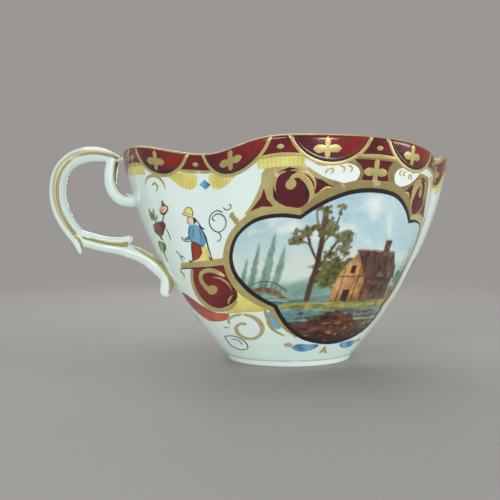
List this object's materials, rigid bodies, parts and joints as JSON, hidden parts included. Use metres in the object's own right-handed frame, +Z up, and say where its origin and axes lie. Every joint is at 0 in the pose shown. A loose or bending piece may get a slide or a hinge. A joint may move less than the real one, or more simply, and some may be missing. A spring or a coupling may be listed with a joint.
{
  "type": "tea cup",
  "caption": "Porcelain tea cup with a lobed bowl, waving lip, low foot ring and scrolled loop handle, painted in enamels and gilded.",
  "frame": {"origin": "on the table, under the middle of the whole outline with the handle", "axes": "+Z up, the handle towards -X in the plane y = 0, the pictured lobe towards -Y"},
  "size_m": [0.1016, 0.0836, 0.0531],
  "materials": {
    "porcelain": "clear-glazed hard-paste porcelain, faintly bluish white",
    "gilding": "fired and burnished gold, softly worn",
    "red_enamel": "fired dark red enamel",
    "dark_enamel": "fired black enamel",
    "yellow_enamel": "fired yellow enamel",
    "blue_enamel": "fired blue enamel",
    "green_enamel": "fired green enamel",
    "picture_enamel": "landscape painted in many fired enamels"
  },
  "bodies": {
    "root": {"bowl": "porcelain", "foot_ring": "porcelain", "handle": "porcelain"}
  },
  "joints": []
}
